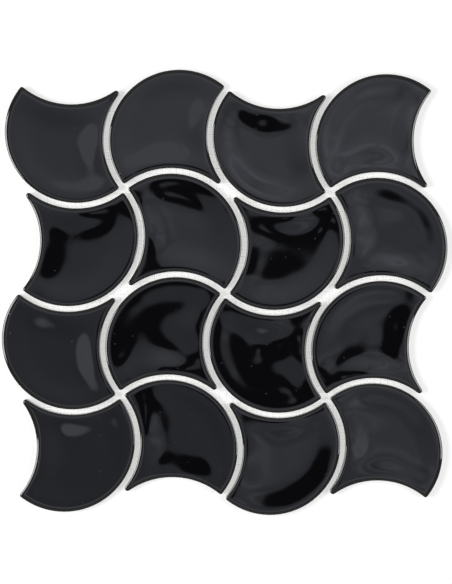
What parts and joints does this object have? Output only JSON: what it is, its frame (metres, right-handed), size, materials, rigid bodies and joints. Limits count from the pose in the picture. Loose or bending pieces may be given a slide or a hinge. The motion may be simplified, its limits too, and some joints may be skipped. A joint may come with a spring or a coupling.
{
  "type": "mosaic tile sheet",
  "caption": "Mosaic sheet of glossy black glazed fan chips laid in waves with open joints on a thin net, for covering walls and floors.",
  "frame": {"origin": "middle of the net's underside, at the sheet's base", "axes": "+Z out of the glazed face, +Y toward the sheet's far edge, the first row of chips, +X to the right"},
  "size_m": [0.2624, 0.2624, 0.006],
  "materials": {
    "black_glaze": "gloss",
    "net": "matte"
  },
  "bodies": {
    "root": {"fan_chip_r1_c1": "black_glaze", "fan_chip_r1_c2": "black_glaze", "fan_chip_r1_c3": "black_glaze", "fan_chip_r1_c4": "black_glaze", "fan_chip_r2_c1": "black_glaze", "fan_chip_r2_c2": "black_glaze", "fan_chip_r2_c3": "black_glaze", "fan_chip_r2_c4": "black_glaze", "fan_chip_r3_c1": "black_glaze", "fan_chip_r3_c2": "black_glaze", "fan_chip_r3_c3": "black_glaze", "fan_chip_r3_c4": "black_glaze", "fan_chip_r4_c1": "black_glaze", "fan_chip_r4_c2": "black_glaze", "fan_chip_r4_c3": "black_glaze", "fan_chip_r4_c4": "black_glaze", "mesh_backing": "net"}
  },
  "joints": []
}
